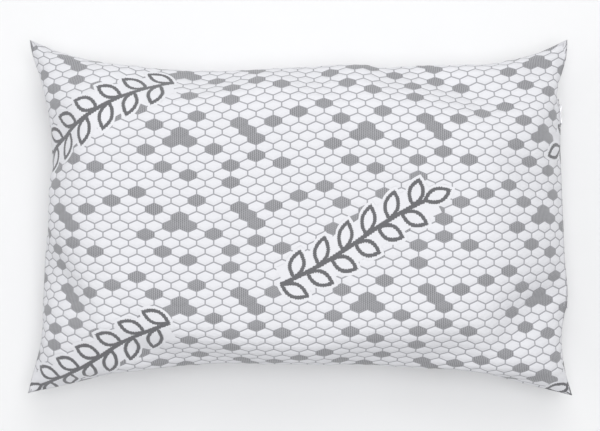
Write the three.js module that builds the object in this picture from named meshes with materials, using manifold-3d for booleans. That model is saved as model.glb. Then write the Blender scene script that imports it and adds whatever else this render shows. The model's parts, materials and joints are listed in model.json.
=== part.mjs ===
// Bed pillow with a removable knit cover, a side zipper, an inner liner and a loose foam fill.
// Millimetres. Origin on the floor under the middle of the pillow, +X along its length, +Z up.
import * as THREE from "three";
import { mergeVertices } from "three/addons/utils/BufferGeometryUtils.js";
import Module from "manifold-3d";

const wasm = await Module();
wasm.setup();

// ---- driving sizes -------------------------------------------------------------------------
const PILLOW_LENGTH = 744; // corner tip to corner tip along X
const PILLOW_WIDTH = 487; // corner tip to corner tip along Y
const SEAM_HEIGHT = 75; // height of the edge seam above the floor
const CROWN_RISE = 100; // crown of the pillow above the seam
const SAG_SHARE = 1.4; // how far the underside would hang, over the room it has above the floor
const FULLNESS = 0.55; // 0.5 is an ellipse in section, larger is leaner at the edge
const DIP_LEFT = 30; // how far each edge draws in between its corners
const DIP_RIGHT = 13.6;
const SKEW_RIGHT = 10; // the right-hand edge draws in by this much more at its back end, and less at its front
const DIP_FRONT = 44;
const DIP_BACK = 40;
const DIP_POWER = 4; // shape of the drawn-in edges
const DIP_POWER_RIGHT = 8; // the zipper keeps the middle of this edge straight

const COVER_THICKNESS = 1.6; // knit cover
const LINER_THICKNESS = 0.8; // woven inner liner
const LINER_INSET = 18; // liner seam inside the cover seam, in plan
const LINER_GAP = 0.8; // cover to liner at the crown and the floor
const FILL_INSET = 8; // fill inside the liner seam, in plan
const FILL_GAP = 0.4; // liner to fill at the crown and the floor
const GAP = 0.3; // between neighbouring pieces that touch in the real thing

const SEAM_THICKNESS = 1.2; // two folded edges oversewn together
const SEAM_ALLOWANCE = 8; // how far the oversewn edges reach inwards
const SEAM_SHOW = 0.6; // how far the seam sits back from the outline

const ZIPPER_SHARE = 0.575; // zipper opening over the pillow's width
const ZIPPER_MIDDLE = 18; // middle of the opening, towards the back
const TAPE_THICKNESS = 0.6;
const TAPE_REACH = 13; // tape height each side of the coils
const TAPE_OVERRUN = 4; // tape past each end of the opening
const COIL_HALF_GAP = 0.7; // half the gap the slider's post runs in
const COIL_HEIGHT = 1.8; // one side's coil, up the wall
const COIL_DEPTH = 2; // one side's coil, through the wall
const STOP_LENGTH = 2.5;
const END_MARGIN = 1; // stop to the end of the opening
const STOP_PROUD = 0.3; // how far the stops stand out past the coils
const STOP_WIDER = 0.4; // and above and below them
const STOP_NEARER = 0.2; // and towards the middle of the opening
const CUT_REACH = 20; // how far in the zipper's cuts and bands reach from the drawn-in edge
const CUT_MORE = 5; // spare length of a cut
const CUT_HALF = 10; // half height of the seam's cut

const SLIDER_LENGTH = 9.5;
const SLIDER_WIDE = 8.4; // at the opening end
const SLIDER_NARROW = 7.4; // at the closing end
const SLIDER_PLATE = 1; // plate thickness
const SLIDER_CLEARANCE = 0.4;
const SLOT_HALF = SLIDER_WIDE / 2 + SLIDER_CLEARANCE; // half height of the opening that shows tape and coils
const FLANGE = 0.7;
const SHOULDER = 2.5; // from the slider's widest place to its end
const WELD = 0.2; // how deep the slider's pieces reach into each other
const POST_THICKNESS = 0.7;
const POST_LENGTH = 3;
const BAIL_WIDTH = 1.6;
const BAIL_BAR = 1;
const BAIL_SPAN = 7.6; // over both legs, along the zipper
const BAIL_LEG = 1;

const TAB_LENGTH = 24; // from its pivot
const TAB_WIDTH = 5.4;
const TAB_THICKNESS = 1.1;
const TAB_BAR = 1; // the bar that turns under the bail
const TAB_WINDOW_HALF = 1.5;
const TAB_WINDOW_END = 5.3;
const TAB_HOLE_RADIUS = 1.1;
const TAB_WAIST = 0.9; // how much each side draws in past the window
const TAB_WAIST_FROM = 1.5; // from the window's end to where the waist starts
const TAB_WAIST_TO = 4; // and to its narrowest place

const TACK_WIDTH = 2.2;
const TACK_HEIGHT = 11;
const TACK_THICKNESS = 0.9;
const TACK_GAP = 0.4; // end of the opening to the tack
const STITCH_LINE = SLOT_HALF + 2.8; // stitch row above or below the coils
const STITCH_HEIGHT = 0.8;
const STITCH_THICKNESS = 0.5;

const LABEL_WIDTH = 32;
const LABEL_REACH = 32; // from the seam inwards, in plan
const LABEL_THICKNESS = 0.7;
const LABEL_INSET = 9.6;
const LABEL_SHARE = 0.75; // its middle, over the half width

const CELLS = [24, 16]; // facets along and across each skin, the same for all so that they nest

// ---- shape of the pillow -------------------------------------------------------------------
const HALF_L = PILLOW_LENGTH / 2;
const HALF_W = PILLOW_WIDTH / 2;
const RIM = SEAM_THICKNESS / 2 + GAP; // a panel's rim stands this far off the seam plane
const FLOOR_DEPTH = SEAM_HEIGHT - RIM;

const spaced = (i, n) => -Math.cos((Math.PI * i) / n);

// Plan position for s along the length and t across the width, both -1 to 1.
function plan(s, t, inset) {
  const ends =
    s > 0
      ? (DIP_RIGHT + SKEW_RIGHT * t) * (1 - Math.abs(t) ** DIP_POWER_RIGHT)
      : DIP_LEFT * (1 - Math.abs(t) ** DIP_POWER);
  const sides = (t > 0 ? DIP_BACK : DIP_FRONT) * (1 - Math.abs(s) ** DIP_POWER);
  return [
    s * (HALF_L - ends) * (1 - inset / HALF_L),
    t * (HALF_W - sides) * (1 - inset / HALF_W),
  ];
}

const swell = (s, t) => Math.max(0, (1 - s * s) * (1 - t * t)) ** FULLNESS;

// Height above (or depth below) a panel's rim, for a skin lying `under` the outside.
function height(s, t, side, under) {
  if (side > 0) return (CROWN_RISE - RIM - under) * swell(s, t);
  return (FLOOR_DEPTH - under) * Math.min(1, SAG_SHARE * swell(s, t));
}

function skin(side, inset, under, rim, cells) {
  const [nu, nv] = cells;
  const points = [];
  for (let j = 0; j <= nv; j++)
    for (let i = 0; i <= nu; i++) {
      const s = spaced(i, nu);
      const t = spaced(j, nv);
      const [x, y] = plan(s, t, inset);
      points.push([x, y, SEAM_HEIGHT + side * (rim + height(s, t, side, under))]);
    }
  const at = (i, j) => j * (nu + 1) + i;
  const faces = [];
  for (let j = 0; j < nv; j++)
    for (let i = 0; i < nu; i++) {
      const q = [at(i, j), at(i + 1, j), at(i + 1, j + 1), at(i, j + 1)];
      // the shorter diagonal, mirrored in each quarter
      if (i < nu / 2 === j < nv / 2) faces.push([q[0], q[1], q[2]], [q[0], q[2], q[3]]);
      else faces.push([q[0], q[1], q[3]], [q[1], q[2], q[3]]);
    }
  const edge = [];
  for (let i = 0; i < nu; i++) edge.push(at(i, 0));
  for (let j = 0; j < nv; j++) edge.push(at(nu, j));
  for (let i = nu; i > 0; i--) edge.push(at(i, nv));
  for (let j = nv; j > 0; j--) edge.push(at(0, j));
  return { points, faces, edge };
}

function toManifold(geometry) {
  const g = geometry.index ? geometry.toNonIndexed() : geometry.clone();
  g.deleteAttribute("normal");
  g.deleteAttribute("uv");
  const merged = mergeVertices(g, 1e-4);
  return new wasm.Manifold(
    new wasm.Mesh({
      numProp: 3,
      vertProperties: new Float32Array(merged.attributes.position.array),
      triVerts: new Uint32Array(merged.index.array),
    }),
  );
}

function fromFaces(points, faces, flip) {
  const g = new THREE.BufferGeometry();
  g.setAttribute("position", new THREE.BufferAttribute(new Float32Array(points.flat()), 3));
  g.setIndex((flip ? faces.map(([a, b, c]) => [a, c, b]) : faces).flat());
  return toManifold(g);
}

// A closed bowl: an outer skin, an inner skin and the flat rim between them.
function bowl(side, insetOut, underOut, insetIn, underIn, rim, cells) {
  const outer = skin(side, insetOut, underOut, rim, cells);
  const inner = skin(side, insetIn, underIn, rim, cells);
  const base = outer.points.length;
  const faces = [...outer.faces];
  for (const [a, b, c] of inner.faces) faces.push([base + a, base + c, base + b]);
  const n = outer.edge.length;
  for (let k = 0; k < n; k++) {
    const a = outer.edge[k];
    const b = outer.edge[(k + 1) % n];
    faces.push([b, a, base + a], [b, base + a, base + b]);
  }
  return fromFaces([...outer.points, ...inner.points], faces, side < 0);
}

// A solid cushion: a top and a bottom skin meeting along the seam plane.
function cushion(inset, underTop, underBottom, cells) {
  const top = skin(1, inset, underTop, 0, cells);
  const bottom = skin(-1, inset, underBottom, 0, cells);
  const base = top.points.length;
  const faces = [...top.faces];
  for (const [a, b, c] of bottom.faces) faces.push([base + a, base + c, base + b]);
  return fromFaces([...top.points, ...bottom.points], faces, false);
}

// A flat strip that follows the outline at the seam plane.
function seamRing(insetOut, insetIn, thickness, cells) {
  const { edge, points } = skin(1, insetOut, 0, 0, cells);
  const inner = skin(1, insetIn, 0, 0, cells).points;
  const n = edge.length;
  const all = [];
  for (const list of [points, inner])
    for (const z of [thickness / 2, -thickness / 2])
      for (const k of edge) all.push([list[k][0], list[k][1], SEAM_HEIGHT + z]);
  const faces = [];
  const quad = (a, b, c, d) => faces.push([a, b, c], [a, c, d]);
  for (let k = 0; k < n; k++) {
    const m = (k + 1) % n;
    const [ot, ob, it, ib] = [k, n + k, 2 * n + k, 3 * n + k];
    const [pt, pb, jt, jb] = [m, n + m, 2 * n + m, 3 * n + m];
    quad(ot, pt, jt, it);
    quad(ob, ib, jb, pb);
    quad(ob, pb, pt, ot);
    quad(jb, ib, it, jt);
  }
  return fromFaces(all, faces, false);
}

const box = (x0, x1, y0, y1, z0, z1) =>
  toManifold(
    new THREE.BoxGeometry(x1 - x0, y1 - y0, z1 - z0).translate((x0 + x1) / 2, (y0 + y1) / 2, (z0 + z1) / 2),
  );

// Extrudes a shape drawn in (along Y, up Z) through X, from x0 to x1.
function plate(shape, x0, x1, curveSegments = 6) {
  const g = new THREE.ExtrudeGeometry(shape, { depth: x1 - x0, bevelEnabled: false, curveSegments });
  // shape x -> Y, shape y -> Z, depth -> X
  g.applyMatrix4(new THREE.Matrix4().set(0, 0, 1, x0, 1, 0, 0, 0, 0, 1, 0, SEAM_HEIGHT, 0, 0, 0, 1));
  return toManifold(g);
}

const part = new THREE.Group();
part.name = "bed_pillow";

function node(name, solid, colour) {
  const m = solid.getMesh();
  const g = new THREE.BufferGeometry();
  const p = new Float32Array(m.numVert * 3);
  for (let i = 0; i < m.numVert; i++) p.set(m.vertProperties.subarray(i * m.numProp, i * m.numProp + 3), i * 3);
  g.setAttribute("position", new THREE.BufferAttribute(p, 3));
  g.setIndex(new THREE.BufferAttribute(new Uint32Array(m.triVerts), 1));
  g.computeVertexNormals();
  const mesh = new THREE.Mesh(g, new THREE.MeshStandardMaterial({ color: colour }));
  mesh.name = name;
  part.add(mesh);
  return mesh;
}

// ---- the zipper's place in the right-hand edge ---------------------------------------------
const ZIP_HALF = (ZIPPER_SHARE * PILLOW_WIDTH) / 2;
const ZIP_BACK = ZIPPER_MIDDLE + ZIP_HALF;
const ZIP_FRONT = ZIPPER_MIDDLE - ZIP_HALF;
const ZIP_T = ZIP_BACK / HALF_W;
const TAPE_INSET = COVER_THICKNESS + GAP;
const ZIP_TURN = Math.atan2(SKEW_RIGHT, HALF_W); // the zipper follows the skewed edge
// X of the edge at a place along it, squared up to the zipper's own direction.
const edgeX = (y, inset) => plan(1, y / HALF_W, inset)[0] + (y - ZIPPER_MIDDLE) * Math.tan(ZIP_TURN);
const PIN_X = edgeX(ZIPPER_MIDDLE, 0);
// Pieces drawn along Y are turned about the middle of the zipper to lie along it.
const turned = (solid) =>
  solid
    .translate([-PIN_X, -ZIPPER_MIDDLE, 0])
    .rotate([0, 0, (ZIP_TURN * 180) / Math.PI])
    .translate([PIN_X, ZIPPER_MIDDLE, 0]);
const tapeX = edgeX(ZIP_BACK + TAPE_OVERRUN, TAPE_INSET); // outermost of the tape's face
const COIL_X0 = tapeX + GAP;
const COIL_X1 = COIL_X0 + COIL_DEPTH;
// how fast the wall leans in as it rises, at the ends of the zipper where it leans most
const s1 = spaced(CELLS[0] - 1, CELLS[0]);
const LEAN = (plan(1, ZIP_T, 0)[0] - plan(s1, ZIP_T, 0)[0]) / height(s1, ZIP_T, 1, COVER_THICKNESS);
const Z0 = SEAM_HEIGHT;

// ---- cover ---------------------------------------------------------------------------------
const CUT_FROM = HALF_L - DIP_RIGHT - CUT_REACH;
const slot = box(CUT_FROM, HALF_L + CUT_MORE, ZIP_FRONT, ZIP_BACK, Z0 - SLOT_HALF, Z0 + SLOT_HALF);
for (const [name, side] of [
  ["cover_top_panel", 1],
  ["cover_bottom_panel", -1],
]) {
  const panel = bowl(side, 0, 0, COVER_THICKNESS, COVER_THICKNESS, RIM, CELLS);
  node(name, panel.subtract(slot), 0xf1f1f4);
}
const seamCut = box(
  CUT_FROM - CUT_MORE,
  HALF_L + CUT_MORE,
  ZIP_FRONT - TAPE_OVERRUN - GAP,
  ZIP_BACK + TAPE_OVERRUN + GAP,
  Z0 - CUT_HALF,
  Z0 + CUT_HALF,
);
node(
  "cover_seam_overlock",
  seamRing(SEAM_SHOW, SEAM_SHOW + SEAM_ALLOWANCE, SEAM_THICKNESS, CELLS).subtract(seamCut),
  0xdcdce0,
);

// ---- zipper --------------------------------------------------------------------------------
const COIL_Z0 = COIL_HALF_GAP;
const COIL_Z1 = COIL_HALF_GAP + COIL_HEIGHT;
// each stop's outer and inner end
const BACK_STOP = [ZIP_BACK - END_MARGIN, ZIP_BACK - END_MARGIN - STOP_LENGTH];
const FRONT_STOP = [ZIP_FRONT + END_MARGIN, ZIP_FRONT + END_MARGIN + STOP_LENGTH];
for (const [name, side] of [
  ["upper", 1],
  ["lower", -1],
]) {
  const span = (a, b) => (side > 0 ? [Z0 + a, Z0 + b] : [Z0 - b, Z0 - a]);
  const tape = bowl(
    side,
    TAPE_INSET,
    TAPE_INSET,
    TAPE_INSET + TAPE_THICKNESS,
    TAPE_INSET + TAPE_THICKNESS,
    0.5 * COIL_HALF_GAP,
    CELLS,
  );
  node(
    "zipper_tape_" + name,
    tape.intersect(
      box(
        CUT_FROM,
        HALF_L,
        ZIP_FRONT - TAPE_OVERRUN,
        ZIP_BACK + TAPE_OVERRUN,
        ...span(COIL_HALF_GAP, TAPE_REACH),
      ),
    ),
    0xe9e9ee,
  );
  node(
    "zipper_coil_" + name,
    turned(box(COIL_X0, COIL_X1, FRONT_STOP[1] + GAP, BACK_STOP[1] - GAP, ...span(COIL_Z0, COIL_Z1))),
    0xf6f6f8,
  );
  node(
    "zipper_top_stop_" + name,
    turned(box(COIL_X0, COIL_X1 + STOP_PROUD, BACK_STOP[1], BACK_STOP[0], ...span(COIL_Z0 - STOP_NEARER, COIL_Z1 + STOP_WIDER))),
    0xc9c9cc,
  );
  const stitch = bowl(
    side,
    -(GAP + STITCH_THICKNESS),
    -(GAP + STITCH_THICKNESS),
    -GAP,
    -GAP,
    RIM,
    CELLS,
  );
  node(
    "zipper_stitching_" + name,
    stitch.intersect(
      box(
        CUT_FROM,
        HALF_L + CUT_MORE,
        ZIP_FRONT - TACK_WIDTH / 2,
        ZIP_BACK + TACK_WIDTH / 2,
        ...span(STITCH_LINE, STITCH_LINE + STITCH_HEIGHT),
      ),
    ),
    0xe2e2e6,
  );
}
node(
  "zipper_bottom_stop",
  turned(box(COIL_X0, COIL_X1 + STOP_PROUD, FRONT_STOP[0], FRONT_STOP[1], Z0 - COIL_Z1 - STOP_WIDER, Z0 + COIL_Z1 + STOP_WIDER)),
  0xc9c9cc,
);
// bar tacks across the zipper's ends, on the outside of the cover
const tackX = edgeX(ZIP_BACK + 2 * TACK_WIDTH, 0) + GAP;
for (const [name, y] of [
  ["front", ZIP_FRONT - TACK_WIDTH / 2 - TACK_GAP],
  ["back", ZIP_BACK + TACK_WIDTH / 2 + TACK_GAP],
]) {
  node(
    "zipper_end_tack_" + name,
    turned(
      box(
        tackX,
        tackX + TACK_THICKNESS,
        y - TACK_WIDTH / 2,
        y + TACK_WIDTH / 2,
        Z0 - TACK_HEIGHT / 2,
        Z0 + TACK_HEIGHT / 2,
      ),
    ),
    0xe2e2e6,
  );
}

// slider, at the closed end
const SLIDER_Y = BACK_STOP[1] - GAP - SLIDER_LENGTH / 2;
const SLIDER_TRAVEL = SLIDER_Y - (FRONT_STOP[1] + GAP + SLIDER_LENGTH / 2);
const PLATE_X0 = COIL_X1 + SLIDER_CLEARANCE;
const PLATE_X1 = PLATE_X0 + SLIDER_PLATE;
const BACK_X1 =
  edgeX(0, TAPE_INSET + TAPE_THICKNESS) - LEAN * (SLIDER_WIDE / 2) - SLIDER_CLEARANCE;
const BACK_X0 = BACK_X1 - SLIDER_PLATE;
const barReach = Math.hypot(TAB_BAR / 2, TAB_THICKNESS / 2);
const PIVOT_X = PLATE_X1 + GAP + barReach;
const BAIL_X0 = PIVOT_X + barReach + GAP;
const BAIL_X1 = BAIL_X0 + BAIL_BAR;

function shield(wide, narrow, length) {
  const s = new THREE.Shape();
  s.moveTo(-length / 2, -narrow / 2);
  s.lineTo(length / 2 - SHOULDER, -wide / 2);
  s.lineTo(length / 2, -wide / 4);
  s.lineTo(length / 2, wide / 4);
  s.lineTo(length / 2 - SHOULDER, wide / 2);
  s.lineTo(-length / 2, narrow / 2);
  s.closePath();
  return s;
}
const flange = (side) => {
  const s = new THREE.Shape();
  const half = SLIDER_LENGTH / 2;
  s.moveTo(-half, side * (SLIDER_NARROW / 2));
  s.lineTo(-half, side * (SLIDER_NARROW / 2 - FLANGE));
  s.lineTo(half - SHOULDER, side * (SLIDER_WIDE / 2 - FLANGE));
  s.lineTo(half - SHOULDER, side * (SLIDER_WIDE / 2));
  s.closePath();
  return plate(s, COIL_X0, PLATE_X0 + WELD);
};
const sliderSolid = plate(shield(SLIDER_WIDE, SLIDER_NARROW, SLIDER_LENGTH), PLATE_X0, PLATE_X1)
  .add(plate(shield(SLIDER_WIDE, SLIDER_NARROW, SLIDER_LENGTH), BACK_X0, BACK_X1))
  .add(flange(1))
  .add(flange(-1))
  .add(
    box(
      BACK_X1 - WELD,
      PLATE_X0 + WELD,
      SLIDER_LENGTH / 2 - POST_LENGTH,
      SLIDER_LENGTH / 2 - GAP,
      Z0 - POST_THICKNESS / 2,
      Z0 + POST_THICKNESS / 2,
    ),
  )
  .add(box(PLATE_X1 - WELD, BAIL_X1, BAIL_SPAN / 2 - BAIL_LEG, BAIL_SPAN / 2, Z0 - BAIL_WIDTH / 2, Z0 + BAIL_WIDTH / 2))
  .add(box(PLATE_X1 - WELD, BAIL_X1, -BAIL_SPAN / 2, BAIL_LEG - BAIL_SPAN / 2, Z0 - BAIL_WIDTH / 2, Z0 + BAIL_WIDTH / 2))
  .add(box(BAIL_X0, BAIL_X1, -BAIL_SPAN / 2, BAIL_SPAN / 2, Z0 - BAIL_WIDTH / 2, Z0 + BAIL_WIDTH / 2));
node("zipper_slider", turned(sliderSolid.translate([0, SLIDER_Y, 0])), 0xb9babd);

// pull tab, lying along the closed coils
const tab = new THREE.Shape();
const root = TAB_BAR / 2;
tab.moveTo(root, -TAB_WIDTH / 2);
tab.lineTo(root, TAB_WIDTH / 2);
tab.lineTo(-TAB_WINDOW_END - TAB_WAIST_FROM, TAB_WIDTH / 2);
tab.lineTo(-TAB_WINDOW_END - TAB_WAIST_TO, TAB_WIDTH / 2 - TAB_WAIST);
tab.lineTo(-TAB_LENGTH + TAB_WIDTH / 2, TAB_WIDTH / 2);
tab.absarc(-TAB_LENGTH + TAB_WIDTH / 2, 0, TAB_WIDTH / 2, Math.PI / 2, (3 * Math.PI) / 2, false);
tab.lineTo(-TAB_WINDOW_END - TAB_WAIST_TO, -TAB_WIDTH / 2 + TAB_WAIST);
tab.lineTo(-TAB_WINDOW_END - TAB_WAIST_FROM, -TAB_WIDTH / 2);
tab.closePath();
const tabWindow = new THREE.Path();
tabWindow.moveTo(-root, -TAB_WINDOW_HALF);
tabWindow.lineTo(-TAB_WINDOW_END, -TAB_WINDOW_HALF);
tabWindow.lineTo(-TAB_WINDOW_END, TAB_WINDOW_HALF);
tabWindow.lineTo(-root, TAB_WINDOW_HALF);
tabWindow.closePath();
const tabHole = new THREE.Path();
tabHole.absarc(-TAB_LENGTH + TAB_WIDTH / 2, 0, TAB_HOLE_RADIUS, 0, Math.PI * 2, true);
tab.holes.push(tabWindow, tabHole);
node(
  "zipper_pull_tab",
  turned(plate(tab, PIVOT_X - TAB_THICKNESS / 2, PIVOT_X + TAB_THICKNESS / 2, 12).translate([0, SLIDER_Y, 0])),
  0xb9babd,
);

// ---- care label, hanging inside the cover from the seam ------------------------------------
const labelY = -LABEL_SHARE * HALF_W;
const labelX = plan(1, -LABEL_SHARE, LABEL_INSET)[0];
const labelUnder = (LABEL_INSET * LINER_GAP) / LINER_INSET + COVER_THICKNESS;
node(
  "care_label",
  bowl(-1, LABEL_INSET, labelUnder, LABEL_INSET + LABEL_THICKNESS, labelUnder + LABEL_THICKNESS, 0, CELLS).intersect(
    box(labelX - LABEL_REACH, HALF_L, labelY - LABEL_WIDTH / 2, labelY + LABEL_WIDTH / 2, 0, Z0 - RIM),
  ),
  0xf4f4f0,
);

// ---- inner pillow --------------------------------------------------------------------------
const linerUnder = COVER_THICKNESS + LINER_GAP;
for (const [name, side] of [
  ["liner_top_panel", 1],
  ["liner_bottom_panel", -1],
])
  node(
    name,
    bowl(
      side,
      LINER_INSET,
      linerUnder,
      LINER_INSET + LINER_THICKNESS,
      linerUnder + LINER_THICKNESS,
      RIM,
      CELLS,
    ),
    0xfafaf7,
  );
node(
  "liner_seam_overlock",
  seamRing(LINER_INSET + SEAM_SHOW, LINER_INSET + FILL_INSET - GAP, SEAM_THICKNESS, CELLS),
  0xe6e6e2,
);
const fillUnder = linerUnder + LINER_THICKNESS + FILL_GAP;
node("foam_fill", cushion(LINER_INSET + FILL_INSET, fillUnder + RIM, fillUnder + RIM, CELLS), 0x6f7377);

export default part;
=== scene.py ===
"""Bed pillow: a zipped knit cover over a sewn liner and a shredded foam fill.

Laid out as an add-on and run as a script. Metres, +Z up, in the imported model's own frame.
"""
import json
import math

import bmesh
import bpy
import numpy as np
from bpy.props import FloatProperty, FloatVectorProperty, IntProperty, PointerProperty
from mathutils import Matrix, Vector
from mathutils.bvhtree import BVHTree

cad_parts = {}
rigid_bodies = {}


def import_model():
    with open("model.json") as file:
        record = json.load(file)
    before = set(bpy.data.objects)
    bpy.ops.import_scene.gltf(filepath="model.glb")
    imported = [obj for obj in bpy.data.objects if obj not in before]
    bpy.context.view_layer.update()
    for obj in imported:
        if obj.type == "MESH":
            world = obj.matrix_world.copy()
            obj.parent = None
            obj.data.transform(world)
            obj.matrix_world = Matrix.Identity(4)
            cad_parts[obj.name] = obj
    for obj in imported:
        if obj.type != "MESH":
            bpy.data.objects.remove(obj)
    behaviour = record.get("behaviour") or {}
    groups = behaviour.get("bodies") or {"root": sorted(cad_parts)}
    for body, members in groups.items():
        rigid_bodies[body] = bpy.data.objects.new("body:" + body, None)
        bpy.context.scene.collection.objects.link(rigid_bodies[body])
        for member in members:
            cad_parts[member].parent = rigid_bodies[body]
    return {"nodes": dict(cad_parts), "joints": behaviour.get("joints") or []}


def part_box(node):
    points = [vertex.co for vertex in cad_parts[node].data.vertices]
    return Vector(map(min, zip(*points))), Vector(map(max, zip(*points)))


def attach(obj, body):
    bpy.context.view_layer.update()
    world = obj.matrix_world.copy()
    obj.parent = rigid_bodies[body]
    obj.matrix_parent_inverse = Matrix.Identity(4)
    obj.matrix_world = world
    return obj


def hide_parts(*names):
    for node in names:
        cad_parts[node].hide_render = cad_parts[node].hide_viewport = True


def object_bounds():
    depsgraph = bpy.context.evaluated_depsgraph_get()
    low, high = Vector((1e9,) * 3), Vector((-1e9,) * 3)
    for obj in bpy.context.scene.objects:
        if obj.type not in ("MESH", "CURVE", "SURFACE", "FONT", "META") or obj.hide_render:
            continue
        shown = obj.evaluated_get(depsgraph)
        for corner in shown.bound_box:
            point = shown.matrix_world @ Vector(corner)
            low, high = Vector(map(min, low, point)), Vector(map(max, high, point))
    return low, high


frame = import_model()
cad_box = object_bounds()

bl_info = {
    "name": "Bed Pillow",
    "version": (1, 0, 0),
    "blender": (4, 5, 0),
    "location": "View3D > Sidebar > Pillow",
    "description": "Builds a bed pillow with a zipped knit cover, a liner and a foam fill",
    "category": "Add Mesh",
}

MM = 0.001
RIM_ABOVE_SEAM = 0.9 * MM  # of the top panel
SEAM_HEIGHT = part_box("cover_top_panel")[0].z - RIM_ABOVE_SEAM
CROWN_RISE = cad_box[1].z - SEAM_HEIGHT
HALF_LENGTH = cad_box[1].x
HALF_WIDTH = cad_box[1].y

# ---- the zipper's own frame: X out of the pillow, Y along the zipper to its back end, Z up --------
SLIDE = next(j for j in frame["joints"] if j["type"] == "slide")
HINGE = next(j for j in frame["joints"] if j["type"] == "hinge")
ALONG = -Vector(SLIDE["axis"]).normalized()
OUT = ALONG.cross(Vector((0, 0, 1)))
ZIP = Matrix.Translation(HINGE["pos_m"]) @ Matrix((OUT, ALONG, (0, 0, 1))).transposed().to_4x4()


def zip_box(node):
    """A CAD node's lowest and highest corners in the zipper's frame."""
    inverse = ZIP.inverted()
    points = np.array([inverse @ v.co for v in frame["nodes"][node].data.vertices])
    return Vector(points.min(0)), Vector(points.max(0))


COIL = zip_box("zipper_coil_upper")
TAPE = zip_box("zipper_tape_upper")
TACK_BACK = zip_box("zipper_end_tack_back")
TACK_FRONT = zip_box("zipper_end_tack_front")
STITCHING = zip_box("zipper_stitching_upper")
TACK_GAP = 0.4 * MM  # from a bar tack to the end of the opening
ZIP_FRONT = TACK_FRONT[1].y + TACK_GAP
ZIP_BACK = TACK_BACK[0].y - TACK_GAP
EDGE_OUT = COIL[0].x + 1.3 * MM  # where the cover's folded edge lies, out from the pull tab's pin
EDGE_FRONT, EDGE_BACK = (ZIP @ Vector((EDGE_OUT, end, 0)) for end in (ZIP_FRONT, ZIP_BACK))
SIDES = (("upper", 1), ("lower", -1))  # the zipper's two sides

# ---- outline of the filled cover, seen from above, in millimetres --------------------------------
# The front and back edges run left to right as (x, y), and the left and right edges front to back
# as (y, x). Between its front and back parts the right-hand edge is straight, along the zipper.
BACK_EDGE = [(-368, 241.6), (-327, 225), (-272, 211.6), (-177, 199.5), (-81, 197.5), (1, 202), (60, 205.5),
             (137, 204.5), (205, 206), (274, 212), (328, 225), (365.5, 242)]
FRONT_EDGE = [(-370.6, -240.5), (-327, -231), (-245, -211.6), (-136, -199), (1, -198.5), (137, -202),
              (246, -212), (301, -226), (372, -243.5)]
LEFT_EDGE = [(-240.5, -370.6), (-222, -366), (-168, -352.5), (-113, -349.5), (-45, -346), (3, -341),
             (91, -338), (146, -341.5), (180, -350.5), (222, -364), (241.6, -368)]
RIGHT_FRONT = [(-243.5, 372), (-212, 363), (-181, 358.5), (-152, 358.5), (-136, 361.2)]
RIGHT_BACK = [(164, 351), (177, 351.8), (193, 357), (214, 363), (242, 365.5)]

# ---- knitting chart: one repeat of the jacquard, a row of cells to a line, # where a cell is filled
CHART = (
    "#...#......",
    "#...#.....#",
    "..#......#.",
    "....#......",
    "...#..#...#",
    "#..........",
    "...#.......",
    "........#..",
    ".#.....#...",
    "...#.#...#.",
)
BITS = 2 ** len(CHART[0])


# ---- sizes and colours that a user would change --------------------------------------------------
def length(name, description, default):
    return FloatProperty(name=name, description=description, default=default, min=0, unit="LENGTH",
                         subtype="DISTANCE", precision=5)


def count(name, description, default, least):
    return IntProperty(name=name, description=description, default=default, min=least)


def colour(name, description, default):
    return FloatVectorProperty(name=name, description=description, default=default, size=3, min=0, max=1,
                               subtype="COLOR")


class PillowSizes(bpy.types.PropertyGroup):
    """Sizes of the sewn and filled pieces."""

    cloth_length: length("Cloth Length", "Length of each cover panel laid flat, inside its seams", 0.762)
    cloth_width: length("Cloth Width", "Width of each cover panel laid flat, inside its seams", 0.508)
    cells_long: count("Cells Long", "Cloth cells along each panel", 120, 24)
    cells_wide: count("Cells Wide", "Cloth cells across each panel", 80, 16)
    fill_volume: FloatProperty(name="Fill Volume", description="Volume that the fill takes up",
                               default=0.028, min=0.001, unit="VOLUME")
    steps: count("Steps", "Steps of the cloth simulation", 30, 5)
    cover_thickness: length("Cover Thickness", "Thickness of the knit cover", 0.0012)
    liner_thickness: length("Liner Thickness", "Thickness of the liner cloth", 0.0005)
    liner_inset: length("Liner Inset", "Liner seam inside the cover seam", 0.018)
    fill_inset: length("Fill Inset", "Foam inside the cover seam", 0.026)
    allowance: length("Seam Allowance", "How far the cover's edges turn in at the seam", 0.006)


class ZipperSizes(bpy.types.PropertyGroup):
    """Sizes of the zipper and its sewing."""

    slot_half: length("Half Opening",
                      "Half of the height that the cover leaves open at the zipper", 0.0043)
    coil_pitch: length("Coil Pitch", "From one turn of the coil to the next", 0.0016)
    coil_wire: length("Coil Wire", "Radius of the coil's monofilament", 0.00036)
    stitch_pitch: length("Stitch Pitch", "From one lock stitch to the next", 0.0031)
    thread: length("Thread", "Diameter of the sewing thread", 0.00055)
    tack_threads: count("Tack Threads", "Threads across a bar tack", 17, 3)


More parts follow.
